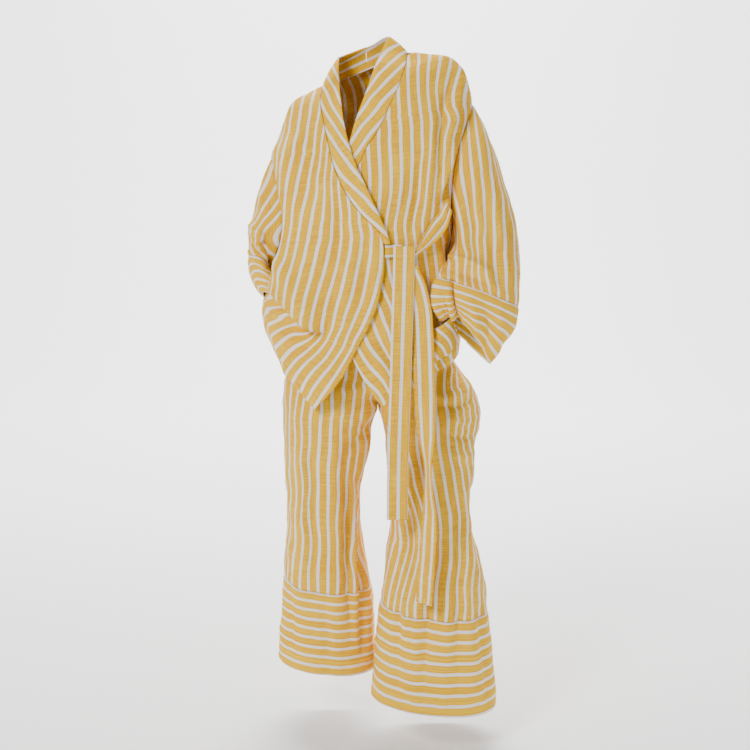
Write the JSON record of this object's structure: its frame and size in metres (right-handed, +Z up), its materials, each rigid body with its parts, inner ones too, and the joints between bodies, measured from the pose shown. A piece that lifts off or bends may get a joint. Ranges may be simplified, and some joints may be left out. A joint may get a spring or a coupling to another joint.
{
  "type": "co-ord set",
  "caption": "Yellow and white striped linen wrap jacket with a band collar, wide cuffs and a side tie, worn over wide-leg trousers with deep hem bands; hollow, no wearer",
  "frame": {"origin": "Middle of the shoulder line, inside the neck opening, where the jacket rests on what wears it", "axes": "+Z up; the front looks along -Y; +X is the wearer's left side"},
  "size_m": [0.5604, 0.3757, 1.3856],
  "materials": {
    "linen_panel": "matte woven linen",
    "linen_trim": "matte woven linen"
  },
  "bodies": {
    "root": {"jacket_back": "linen_panel", "jacket_front_right": "linen_panel", "jacket_front_left": "linen_panel", "collar_right": "linen_trim", "collar_left": "linen_trim", "sleeve_right": "linen_panel", "sleeve_left": "linen_panel", "cuff_right": "linen_trim", "cuff_left": "linen_trim", "pocket_left": "linen_panel", "leg_right_front": "linen_panel", "leg_right_back": "linen_panel", "leg_left_front": "linen_panel", "leg_left_back": "linen_panel", "hem_band_right": "linen_trim", "hem_band_left": "linen_trim", "waistband": "linen_trim", "tie_stub": "linen_trim", "tie_side": "linen_trim", "tie_end_front": "linen_trim", "tie_end_back": "linen_trim"}
  },
  "joints": []
}
